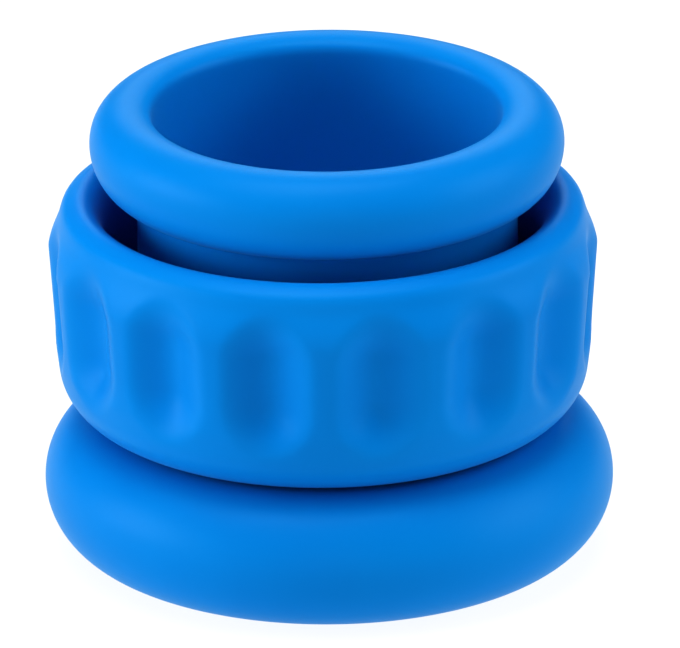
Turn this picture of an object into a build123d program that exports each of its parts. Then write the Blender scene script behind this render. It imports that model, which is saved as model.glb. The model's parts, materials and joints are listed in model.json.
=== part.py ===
"""Flanged silicone sleeve with a loose fluted collar ring.

Two moulded pieces, with the sleeve standing on z = 0 and turned about the Z axis:
  sleeve       a thin tube with a rounded bead at each end, open right through
  collar_ring  a thicker ring round the tube, lying on the lower bead a little off centre
All sizes are in millimetres.
"""
from build123d import *
from math import acos, atan, degrees, radians, sin
import os

# Sleeve: tube
BORE_RADIUS = 18.4
NECK_RADIUS = 20.0

# Sleeve: lower bead, an elliptical section cut off flat where it stands
BASE_BEAD_RADIUS = 30.0
BASE_BEAD_HALF_WIDTH = 7.1
BASE_BEAD_HALF_HEIGHT = 7.5
BASE_LAND_CUT = 0.15
BASE_EDGE_ROUND = 1.5

# Sleeve: upper bead, smaller than the lower one
TOTAL_HEIGHT = 49.2
TOP_BEAD_RADIUS = 24.95
TOP_BEAD_HALF_WIDTH = 4.1
TOP_BEAD_RISE = 4.3
TOP_BEAD_DROP = 5.1
TOP_EDGE_ROUND = 1.2

# Where the tube runs into each bead
NECK_FILLET = 0.6

# Collar ring: section
COLLAR_TOP = 38.85
COLLAR_CREST_RADIUS = 25.65
COLLAR_BORE_RADIUS = 22.85
COLLAR_MOUTH_HEIGHT = 5.1
COLLAR_SIDE_RADIUS = 28.75
COLLAR_SIDE_TOP = 32.8
COLLAR_SIDE_ROUND = 6.0
COLLAR_SHOULDER_RADIUS = 27.4
COLLAR_SHOULDER_LEVEL = 37.85
COLLAR_SHOULDER_ROUND = 1.0
COLLAR_HEEL_RADIUS = 27.9
COLLAR_HEEL_WIDTH = 6.4
COLLAR_HEEL_HEIGHT = 5.7
COLLAR_HEEL_LEVEL = 20.55
COLLAR_FOOT_ROUND = 0.8

# The loose collar sits a little to one side of the sleeve's axis
COLLAR_OFFSET = -0.5

# Collar ring: the fluted band stands slightly proud of the plain rims
FLUTE_COUNT = 15
FLUTE_BOTTOM = 21.4
FLUTE_TOP = 36.0
FLUTE_WIDTH = 8.4
FLUTE_DEPTH = 1.7
BAND_PROUD = 0.25
BAND_END_SLOPE = 1.2


def block(left, right, bottom, top):
    """A rectangle in a section sketch, whose x is radius and y is height."""
    return Pos((left + right) / 2, (bottom + top) / 2) * Rectangle(right - left, top - bottom)


def bead(radius, half_width, drop, rise, middle):
    """A bead's section: half ellipses that drop and rise from its widest level."""
    centre = radius - half_width
    lower = Pos(centre, middle) * Ellipse(half_width, drop)
    upper = Pos(centre, middle) * Ellipse(half_width, rise)
    lower -= block(0, radius + 1, middle, middle + drop + 1)
    upper -= block(0, radius + 1, middle - rise - 1, middle)
    return lower + upper


def turned(section):
    """A section sketch turned once round the Z axis."""
    return revolve(Plane.XZ * section, axis=Axis.Z)


def build_sleeve():
    """The tube and both beads, one moulding with a straight bore through it."""
    base_middle = BASE_BEAD_HALF_HEIGHT - BASE_LAND_CUT
    top_middle = TOTAL_HEIGHT - TOP_BEAD_RISE
    section = block(BORE_RADIUS, NECK_RADIUS, base_middle, top_middle)
    section += Pos(BASE_BEAD_RADIUS - BASE_BEAD_HALF_WIDTH, base_middle) * Ellipse(
        BASE_BEAD_HALF_WIDTH, BASE_BEAD_HALF_HEIGHT
    )
    section += bead(
        TOP_BEAD_RADIUS, TOP_BEAD_HALF_WIDTH, TOP_BEAD_DROP, TOP_BEAD_RISE, top_middle
    )
    section -= block(0, BORE_RADIUS, -BASE_LAND_CUT, TOTAL_HEIGHT)
    section -= block(0, BASE_BEAD_RADIUS, -2 * BASE_LAND_CUT, 0)

    def corners_at(radius):
        found = [v for v in section.vertices() if abs(v.X - radius) < 1e-3]
        return sorted(found, key=lambda v: v.Y)

    section = fillet(corners_at(NECK_RADIUS), NECK_FILLET)
    section = fillet(corners_at(BORE_RADIUS)[0], BASE_EDGE_ROUND)
    section = fillet(corners_at(BORE_RADIUS)[-1], TOP_EDGE_ROUND)
    return turned(section)


def side_radius(height):
    """Radius of the collar's plain side at a height: a slight flare, then a bevel."""
    if height > COLLAR_SIDE_TOP:
        share = (height - COLLAR_SIDE_TOP) / (COLLAR_SHOULDER_LEVEL - COLLAR_SIDE_TOP)
        return COLLAR_SIDE_RADIUS + share * (COLLAR_SHOULDER_RADIUS - COLLAR_SIDE_RADIUS)
    share = (height - COLLAR_HEEL_LEVEL) / (COLLAR_SIDE_TOP - COLLAR_HEEL_LEVEL)
    return COLLAR_HEEL_RADIUS + share * (COLLAR_SIDE_RADIUS - COLLAR_HEEL_RADIUS)


def collar_section():
    """The collar's section: heel, flared side, shoulder, rolled mouth and bore."""
    heel_centre = COLLAR_HEEL_RADIUS - COLLAR_HEEL_WIDTH
    heel_sweep = degrees(acos((COLLAR_BORE_RADIUS - heel_centre) / COLLAR_HEEL_WIDTH))
    foot_level = COLLAR_HEEL_LEVEL - COLLAR_HEEL_HEIGHT * sin(radians(heel_sweep))
    side_top = (COLLAR_SIDE_RADIUS, COLLAR_SIDE_TOP)
    shoulder = (COLLAR_SHOULDER_RADIUS, COLLAR_SHOULDER_LEVEL)
    mouth_middle = COLLAR_TOP - COLLAR_MOUTH_HEIGHT
    mouth_width = COLLAR_CREST_RADIUS - COLLAR_BORE_RADIUS
    with BuildSketch() as section:
        with BuildLine():
            EllipticalCenterArc(
                (heel_centre, COLLAR_HEEL_LEVEL),
                COLLAR_HEEL_WIDTH,
                COLLAR_HEEL_HEIGHT,
                -heel_sweep,
                arc_size=heel_sweep,
            )
            Polyline(
                (COLLAR_HEEL_RADIUS, COLLAR_HEEL_LEVEL),
                side_top,
                shoulder,
                (COLLAR_CREST_RADIUS, COLLAR_TOP),
            )
            EllipticalCenterArc(
                (COLLAR_CREST_RADIUS, mouth_middle), mouth_width, COLLAR_MOUTH_HEIGHT, 90, arc_size=90
            )
            Line((COLLAR_BORE_RADIUS, mouth_middle), (COLLAR_BORE_RADIUS, foot_level))
        make_face()
    face = section.sketch
    foot = (COLLAR_BORE_RADIUS, foot_level)
    rounds = {
        foot: COLLAR_FOOT_ROUND,
        side_top: COLLAR_SIDE_ROUND,
        shoulder: COLLAR_SHOULDER_ROUND,
    }
    for corner, radius in rounds.items():
        nearest = face.vertices().sort_by_distance((*corner, 0))[0]
        face = fillet(nearest, radius)
    return face


def band_section():
    """The raised band that the flutes are cut into, with sloping ends."""
    inside = (COLLAR_BORE_RADIUS + COLLAR_CREST_RADIUS) / 2
    low = FLUTE_BOTTOM + BAND_END_SLOPE
    high = FLUTE_TOP - BAND_END_SLOPE
    side_top = (COLLAR_SIDE_RADIUS + BAND_PROUD, COLLAR_SIDE_TOP)
    corners = [
        (inside, FLUTE_BOTTOM),
        (side_radius(FLUTE_BOTTOM), FLUTE_BOTTOM),
        (side_radius(low) + BAND_PROUD, low),
        side_top,
        (side_radius(high) + BAND_PROUD, high),
        (side_radius(FLUTE_TOP) - BAND_PROUD, FLUTE_TOP),
        (inside, FLUTE_TOP),
    ]
    band = make_face(Polyline(*corners, close=True))
    nearest = band.vertices().sort_by_distance((*side_top, 0))[0]
    return fillet(nearest, COLLAR_SIDE_ROUND)


def flute_cutter():
    """A round-ended rod that hollows one flute, leaning with the flared side."""
    rod_radius = (FLUTE_WIDTH**2 / 4 + FLUTE_DEPTH**2) / (2 * FLUTE_DEPTH)
    straight = FLUTE_TOP - FLUTE_BOTTOM - FLUTE_WIDTH
    middle = (FLUTE_TOP + FLUTE_BOTTOM) / 2
    flare = COLLAR_SIDE_RADIUS - side_radius(FLUTE_BOTTOM)
    lean = degrees(atan(flare / (COLLAR_SIDE_TOP - FLUTE_BOTTOM)))
    rod = Cylinder(rod_radius, straight)
    for end in (-straight / 2, straight / 2):
        rod += Pos(0, 0, end) * Sphere(rod_radius)
    axis_radius = side_radius(middle) + BAND_PROUD - FLUTE_DEPTH + rod_radius
    return Pos(axis_radius, 0, middle) * Rot(0, lean, 0) * rod


def build_collar_ring():
    """The collar with its flutes, a land facing -Y."""
    collar = turned(collar_section() + band_section())
    cutter = flute_cutter()
    pitch = 360 / FLUTE_COUNT
    for index in range(FLUTE_COUNT):
        collar -= Rot(0, 0, -90 + (index + 0.5) * pitch) * cutter
    return Pos(COLLAR_OFFSET, 0, 0) * collar


os.makedirs("parts", exist_ok=True)
export_step(build_sleeve(), "parts/sleeve.step")
export_step(build_collar_ring(), "parts/collar_ring.step")
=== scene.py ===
"""Flanged silicone sleeve with a loose fluted collar ring, on a plain pale floor."""
import json
import math

import bmesh
import bpy
from mathutils import Matrix, Vector


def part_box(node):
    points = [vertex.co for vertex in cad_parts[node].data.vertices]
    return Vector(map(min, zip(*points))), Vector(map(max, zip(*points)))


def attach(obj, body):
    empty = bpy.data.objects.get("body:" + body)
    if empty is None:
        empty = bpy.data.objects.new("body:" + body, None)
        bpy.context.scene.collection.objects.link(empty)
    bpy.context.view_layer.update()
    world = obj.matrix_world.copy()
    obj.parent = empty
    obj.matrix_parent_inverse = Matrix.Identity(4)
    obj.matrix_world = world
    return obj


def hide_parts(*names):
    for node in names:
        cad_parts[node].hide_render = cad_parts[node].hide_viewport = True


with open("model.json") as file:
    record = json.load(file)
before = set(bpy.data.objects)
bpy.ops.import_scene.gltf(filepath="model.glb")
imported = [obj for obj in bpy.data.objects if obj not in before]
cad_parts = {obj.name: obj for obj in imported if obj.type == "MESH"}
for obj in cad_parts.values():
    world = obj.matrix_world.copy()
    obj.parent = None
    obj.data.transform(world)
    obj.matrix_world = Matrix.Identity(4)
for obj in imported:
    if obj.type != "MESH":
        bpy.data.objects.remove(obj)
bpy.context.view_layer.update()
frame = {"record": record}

MM = 0.001

# How finely the turned pieces are made
SEGMENTS = 336            # steps round the axis
FINE_STEP = 0.1 * MM      # along an outline while its corners are eased
SLEEVE_STEP = 0.42 * MM   # along the finished outlines
COLLAR_STEP = 0.36 * MM
SLEEVE_EASING = 60        # rounds of averaging that ease the corners
COLLAR_EASING = 40

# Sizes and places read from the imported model
SLEEVE_LOW, SLEEVE_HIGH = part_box("sleeve")
COLLAR_LOW, COLLAR_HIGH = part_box("collar_ring")
BORE = next(mount for mount in frame["record"]["mounts"] if mount["name"] == "bore")
BORE_RADIUS = BORE["dims"]["r_mm"] * MM
BASE_RADIUS = (SLEEVE_HIGH[0] - SLEEVE_LOW[0]) / 2
HEIGHT = SLEEVE_HIGH[2]
COLLAR_TOP = COLLAR_HIGH[2]
COLLAR_X = (COLLAR_LOW[0] + COLLAR_HIGH[0]) / 2

# Sleeve: the neck and the two beads' sections
NECK_RADIUS = 20.0 * MM
BASE_HALF_WIDTH = 7.1 * MM
BASE_HALF_HEIGHT = 7.4 * MM
TOP_RADIUS = 24.95 * MM
TOP_HALF_WIDTH = 4.1 * MM
TOP_RISE = 4.3 * MM
TOP_DROP = 5.1 * MM

# Collar ring: section
COLLAR_BORE = 22.85 * MM
CREST_RADIUS = 25.65 * MM
MOUTH_HEIGHT = 5.1 * MM
SIDE_RADIUS = 28.75 * MM
SIDE_TOP = 32.8 * MM
SHOULDER_RADIUS = 27.4 * MM
SHOULDER_LEVEL = 37.85 * MM
HEEL_RADIUS = 27.9 * MM
HEEL_WIDTH = 6.4 * MM
HEEL_HEIGHT = 5.7 * MM
COLLAR_FOOT = 14.85 * MM
FOOT_EASE = 0.3 * MM

# Collar ring: flutes, in a band that stands a little proud of the plain rims
FLUTE_COUNT = 15
FLUTE_BOTTOM = 19.6 * MM
FLUTE_TOP = 36.4 * MM
FLUTE_WIDTH = 10.6 * MM
FLUTE_END = 5.8 * MM
FLUTE_DEPTH = 2.3 * MM
BAND_PROUD = 0.25 * MM
BAND_FADE = 2.6 * MM


# ---------------------------------------------------------------- shapes

def arc(centre, half_width, half_height, start, end, steps):
    """Points along part of an ellipse; the angles are in degrees."""
    points = []
    for step in range(steps + 1):
        angle = math.radians(start + (end - start) * step / steps)
        points.append(
            (centre[0] + half_width * math.cos(angle), centre[1] + half_height * math.sin(angle))
        )
    return points


def straight(start, end, steps):
    """Points inside a straight run, without its two ends."""
    return [
        (
            start[0] + (end[0] - start[0]) * step / steps,
            start[1] + (end[1] - start[1]) * step / steps,
        )
        for step in range(1, steps)
    ]


def joined(*runs):
    """One closed outline made of several runs of points, in order."""
    outline = []
    for run in runs:
        outline.extend(run)
    return outline


def softened(outline, rounds):
    """The outline with its corners eased, by averaging each point with its neighbours."""
    for _ in range(rounds):
        count = len(outline)
        outline = [
            tuple(
                (outline[i - 1][k] + 2 * outline[i][k] + outline[(i + 1) % count][k]) / 4
                for k in (0, 1)
            )
            for i in range(count)
        ]
    return outline


def evenly(outline, spacing):
    """The closed outline with points at even distances along it."""
    closed = outline + [outline[0]]
    lengths = [math.dist(a, b) for a, b in zip(closed, closed[1:])]
    total = sum(lengths)
    count = int(total / spacing)
    points = []
    index, passed = 0, 0.0
    for step in range(count):
        target = total * step / count
        while passed + lengths[index] < target:
            passed += lengths[index]
            index += 1
        share = (target - passed) / lengths[index]
        a, b = closed[index], closed[index + 1]
        points.append((a[0] + (b[0] - a[0]) * share, a[1] + (b[1] - a[1]) * share))
    return points


def turned_piece(name, outline, shape=None):
    """A closed ring made by turning an outline round Z; shape may move each point."""
    mesh = bpy.data.meshes.new(name)
    build = bmesh.new()
    rings = []
    for segment in range(SEGMENTS):
        angle = 2 * math.pi * segment / SEGMENTS
        ring = []
        for radius, height in outline:
            if shape:
                radius, height = shape(radius, height, angle)
            ring.append(build.verts.new((radius * math.cos(angle), radius * math.sin(angle), height)))
        rings.append(ring)
    count = len(outline)
    for segment in range(SEGMENTS):
        here, there = rings[segment], rings[(segment + 1) % SEGMENTS]
        for i in range(count):
            j = (i + 1) % count
            build.faces.new((here[i], there[i], there[j], here[j]))
    bmesh.ops.recalc_face_normals(build, faces=build.faces)
    for face in build.faces:
        face.smooth = True
    build.to_mesh(mesh)
    build.free()
    piece = bpy.data.objects.new(name, mesh)
    bpy.context.scene.collection.objects.link(piece)
    return piece


def smooth_step(value):
    """0 to 1 with level ends, held at 0 and 1 outside them."""
    value = min(max(value, 0.0), 1.0)
    return value * value * (3 - 2 * value)


# ---------------------------------------------------------------- sleeve

def sleeve_outline():
    """The sleeve's section: lower bead, neck, upper bead and bore."""
    base_centre = (BASE_RADIUS - BASE_HALF_WIDTH, BASE_HALF_HEIGHT)
    top_centre = (TOP_RADIUS - TOP_HALF_WIDTH, HEIGHT - TOP_RISE)
    base_top = math.degrees(math.acos((NECK_RADIUS - base_centre[0]) / BASE_HALF_WIDTH))
    base_inner = 360 - math.degrees(math.acos((BORE_RADIUS - base_centre[0]) / BASE_HALF_WIDTH))
    top_bottom = math.degrees(math.acos((NECK_RADIUS - top_centre[0]) / TOP_HALF_WIDTH))
    top_inner = math.degrees(math.acos((BORE_RADIUS - top_centre[0]) / TOP_HALF_WIDTH))
    base = arc(base_centre, BASE_HALF_WIDTH, BASE_HALF_HEIGHT, base_inner - 360, base_top, 160)
    top = arc(top_centre, TOP_HALF_WIDTH, TOP_DROP, -top_bottom, 0, 60)
    top += arc(top_centre, TOP_HALF_WIDTH, TOP_RISE, 0, top_inner, 60)[1:]
    neck = straight(base[-1], top[0], 80)
    bore = straight(top[-1], base[0], 120)
    fine = evenly(joined(base, neck, top, bore), FINE_STEP)
    return evenly(softened(fine, SLEEVE_EASING), SLEEVE_STEP)


# ---------------------------------------------------------------- collar ring

def collar_outline():
    """The collar's section: heel, flared side, bevelled shoulder, rolled mouth and bore."""
    heel_middle = COLLAR_FOOT + HEEL_HEIGHT
    heel_centre = HEEL_RADIUS - HEEL_WIDTH
    heel_start = -math.degrees(math.acos((COLLAR_BORE + FOOT_EASE - heel_centre) / HEEL_WIDTH))
    heel = arc((heel_centre, heel_middle), HEEL_WIDTH, HEEL_HEIGHT, heel_start, 0, 70)
    mouth = arc(
        (CREST_RADIUS, COLLAR_TOP - MOUTH_HEIGHT),
        CREST_RADIUS - COLLAR_BORE,
        MOUTH_HEIGHT,
        90,
        180,
        60,
    )
    side_top = (SIDE_RADIUS, SIDE_TOP)
    shoulder = (SHOULDER_RADIUS, SHOULDER_LEVEL)
    side = straight(heel[-1], side_top, 100)
    foot = (COLLAR_BORE, heel[0][1] + FOOT_EASE)
    bore = straight(mouth[-1], foot, 100)
    fine = evenly(joined(heel, side, [side_top, shoulder], mouth, bore, [foot]), FINE_STEP)
    return evenly(softened(fine, COLLAR_EASING), COLLAR_STEP)


def flute_shape(radius, height, angle):
    """Raises the band and hollows the flutes on the collar's outer side."""
    if radius < CREST_RADIUS:
        return radius, height
    band = smooth_step((height - FLUTE_BOTTOM) / BAND_FADE) * smooth_step(
        (FLUTE_TOP - height) / BAND_FADE
    )
    pitch = 2 * math.pi / FLUTE_COUNT
    turns = (angle + math.pi / 2) / pitch - 0.5
    across = (turns - round(turns)) * pitch * radius
    spine_low, spine_high = FLUTE_BOTTOM + FLUTE_END, FLUTE_TOP - FLUTE_END
    beyond = max(spine_low - height, height - spine_high, 0.0)
    reach = math.hypot(across / (FLUTE_WIDTH / 2), beyond / FLUTE_END)
    hollow = (1 - reach * reach) ** 2 if reach < 1 else 0.0
    return radius + BAND_PROUD * band - FLUTE_DEPTH * hollow, height


# ---------------------------------------------------------------- materials

SILICONE_DARK = (0.0006, 0.24, 0.64, 1)
SILICONE_LIGHT = (0.001, 0.258, 0.665, 1)
SILICONE_ROUGHNESS = 0.42
CLOUD_SCALE = 45
GRAIN_SCALE = 1800
GRAIN_HEIGHT = 0.03 * MM
GRAIN_STRENGTH = 0.12


def silicone(name):
    """Matte moulded silicone: faint colour clouds, a fine grain and a little sheen."""
    material = bpy.data.materials.new(name)
    material.use_nodes = True
    nodes, links = material.node_tree.nodes, material.node_tree.links
    shader = nodes["Principled BSDF"]
    shader.inputs["Roughness"].default_value = SILICONE_ROUGHNESS
    shader.inputs["Specular IOR Level"].default_value = 0.08
    shader.inputs["Sheen Weight"].default_value = 0.05
    shader.inputs["Sheen Roughness"].default_value = 0.35
    place = nodes.new("ShaderNodeTexCoord")

    clouds = nodes.new("ShaderNodeTexNoise")
    clouds.inputs["Scale"].default_value = CLOUD_SCALE
    clouds.inputs["Detail"].default_value = 3
    links.new(place.outputs["Object"], clouds.inputs["Vector"])
    tint = nodes.new("ShaderNodeValToRGB")
    tint.color_ramp.elements[0].position = 0.3
    tint.color_ramp.elements[0].color = SILICONE_DARK
    tint.color_ramp.elements[1].position = 0.7
    tint.color_ramp.elements[1].color = SILICONE_LIGHT
    links.new(clouds.outputs["Fac"], tint.inputs["Fac"])
    links.new(tint.outputs["Color"], shader.inputs["Base Color"])

    grain = nodes.new("ShaderNodeTexNoise")
    grain.inputs["Scale"].default_value = GRAIN_SCALE
    grain.inputs["Detail"].default_value = 2
    links.new(place.outputs["Object"], grain.inputs["Vector"])
    bump = nodes.new("ShaderNodeBump")
    bump.inputs["Strength"].default_value = GRAIN_STRENGTH
    bump.inputs["Distance"].default_value = GRAIN_HEIGHT
    links.new(grain.outputs["Fac"], bump.inputs["Height"])
    links.new(bump.outputs["Normal"], shader.inputs["Normal"])
    return material


FLOOR_SIZE = 4
FLOOR_GREY = 0.14
FLOOR_GLOW = 0.64


def plain_floor():
    """Pale paper that glows a little, so that the shadow on it stays faint."""
    bpy.ops.mesh.primitive_plane_add(size=FLOOR_SIZE)
    floor = bpy.context.object
    floor.name = "floor"
    material = bpy.data.materials.new("floor_paper")
    material.use_nodes = True
    shader = material.node_tree.nodes["Principled BSDF"]
    shader.inputs["Base Color"].default_value = (FLOOR_GREY, FLOOR_GREY, FLOOR_GREY, 1)
    shader.inputs["Roughness"].default_value = 0.9
    shader.inputs["Specular IOR Level"].default_value = 0.0
    shader.inputs["Emission Color"].default_value = (1, 1, 1, 1)
    shader.inputs["Emission Strength"].default_value = FLOOR_GLOW
    floor.data.materials.append(material)


# ---------------------------------------------------------------- light and camera

# Soft boxes far away: azimuth (0 from the front, 90 from the right), elevation, strength
SOFT_BOXES = {
    "left": (275, 12, 5.2),
    "front_left": (300, 8, 1.1),
    "front": (0, 8, 1.15),
    "right": (80, 8, 2.2),
    "right_high": (90, 30, 2.9),
    "back": (180, 30, 1.8),
    "front_high": (0, 45, 0.4),
    "key": (304, 66, 2.2),
    "top": (0, 90, 4.5),
}
BOX_EDGE = math.radians(24)
BOX_CORE = math.radians(5)


def studio():
    """A dark room whose light comes from the soft boxes, each bright core fading to its edge."""
    world = bpy.data.worlds.new("studio")
    bpy.context.scene.world = world
    world.use_nodes = True
    nodes, links = world.node_tree.nodes, world.node_tree.links
    background = nodes["Background"]
    background.inputs["Color"].default_value = (1, 1, 1, 1)
    direction = nodes.new("ShaderNodeTexCoord").outputs["Generated"]
    total = None
    for azimuth, elevation, strength in SOFT_BOXES.values():
        turn, rise = math.radians(azimuth), math.radians(elevation)
        facing = nodes.new("ShaderNodeVectorMath")
        facing.operation = "DOT_PRODUCT"
        facing.inputs[1].default_value = (
            math.sin(turn) * math.cos(rise),
            -math.cos(turn) * math.cos(rise),
            math.sin(rise),
        )
        links.new(direction, facing.inputs[0])
        glow = nodes.new("ShaderNodeMapRange")
        glow.interpolation_type = "SMOOTHSTEP"
        glow.inputs["From Min"].default_value = math.cos(BOX_EDGE)
        glow.inputs["From Max"].default_value = math.cos(BOX_CORE)
        glow.inputs["To Max"].default_value = strength
        links.new(facing.outputs["Value"], glow.inputs["Value"])
        if total is None:
            total = glow.outputs["Result"]
            continue
        both = nodes.new("ShaderNodeMath")
        both.operation = "ADD"
        links.new(total, both.inputs[0])
        links.new(glow.outputs["Result"], both.inputs[1])
        total = both.outputs["Value"]
    links.new(total, background.inputs["Strength"])


CAMERA_DISTANCE = 1.8
CAMERA_ELEVATION = math.radians(21.65)
CAMERA_ROLL = -0.007
FOCAL_WIDTHS = 25.14      # focal length in picture widths
AIM_HEIGHT = 24.0 * MM    # the point on the axis that lies nearest the picture's centre
AIM_RIGHT = 1.24 * MM
AIM_UP = 0.15 * MM


def camera():
    """A long lens that looks at the axis from the front, a little above."""
    data = bpy.data.cameras.new("camera")
    data.sensor_width = 36
    data.lens = FOCAL_WIDTHS * data.sensor_width
    data.clip_start, data.clip_end = 0.1, 20
    cam = bpy.data.objects.new("camera", data)
    back = Vector((0, -math.cos(CAMERA_ELEVATION), math.sin(CAMERA_ELEVATION)))
    right = Vector((1, 0, 0))
    up = right.cross(-back)
    aim = Vector((0, 0, AIM_HEIGHT)) + right * AIM_RIGHT + up * AIM_UP
    turn = Matrix.Rotation(CAMERA_ROLL, 4, back)
    look = Matrix((right, up, back)).transposed().to_4x4()
    cam.matrix_world = Matrix.Translation(aim + back * CAMERA_DISTANCE) @ turn @ look
    bpy.context.scene.collection.objects.link(cam)
    bpy.context.scene.camera = cam


camera()
bpy.context.scene.view_settings.view_transform = "Standard"
bpy.context.scene.view_settings.look = "High Contrast"

sleeve = turned_piece("sleeve_skin", sleeve_outline())
sleeve.data.materials.append(silicone("sleeve_surface"))
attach(sleeve, "sleeve")
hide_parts("sleeve")

collar = turned_piece("collar_skin", collar_outline(), flute_shape)
collar.data.transform(Matrix.Translation((COLLAR_X, 0, 0)))
collar.data.materials.append(silicone("collar_surface"))
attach(collar, "collar_ring")
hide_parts("collar_ring")

plain_floor()
studio()
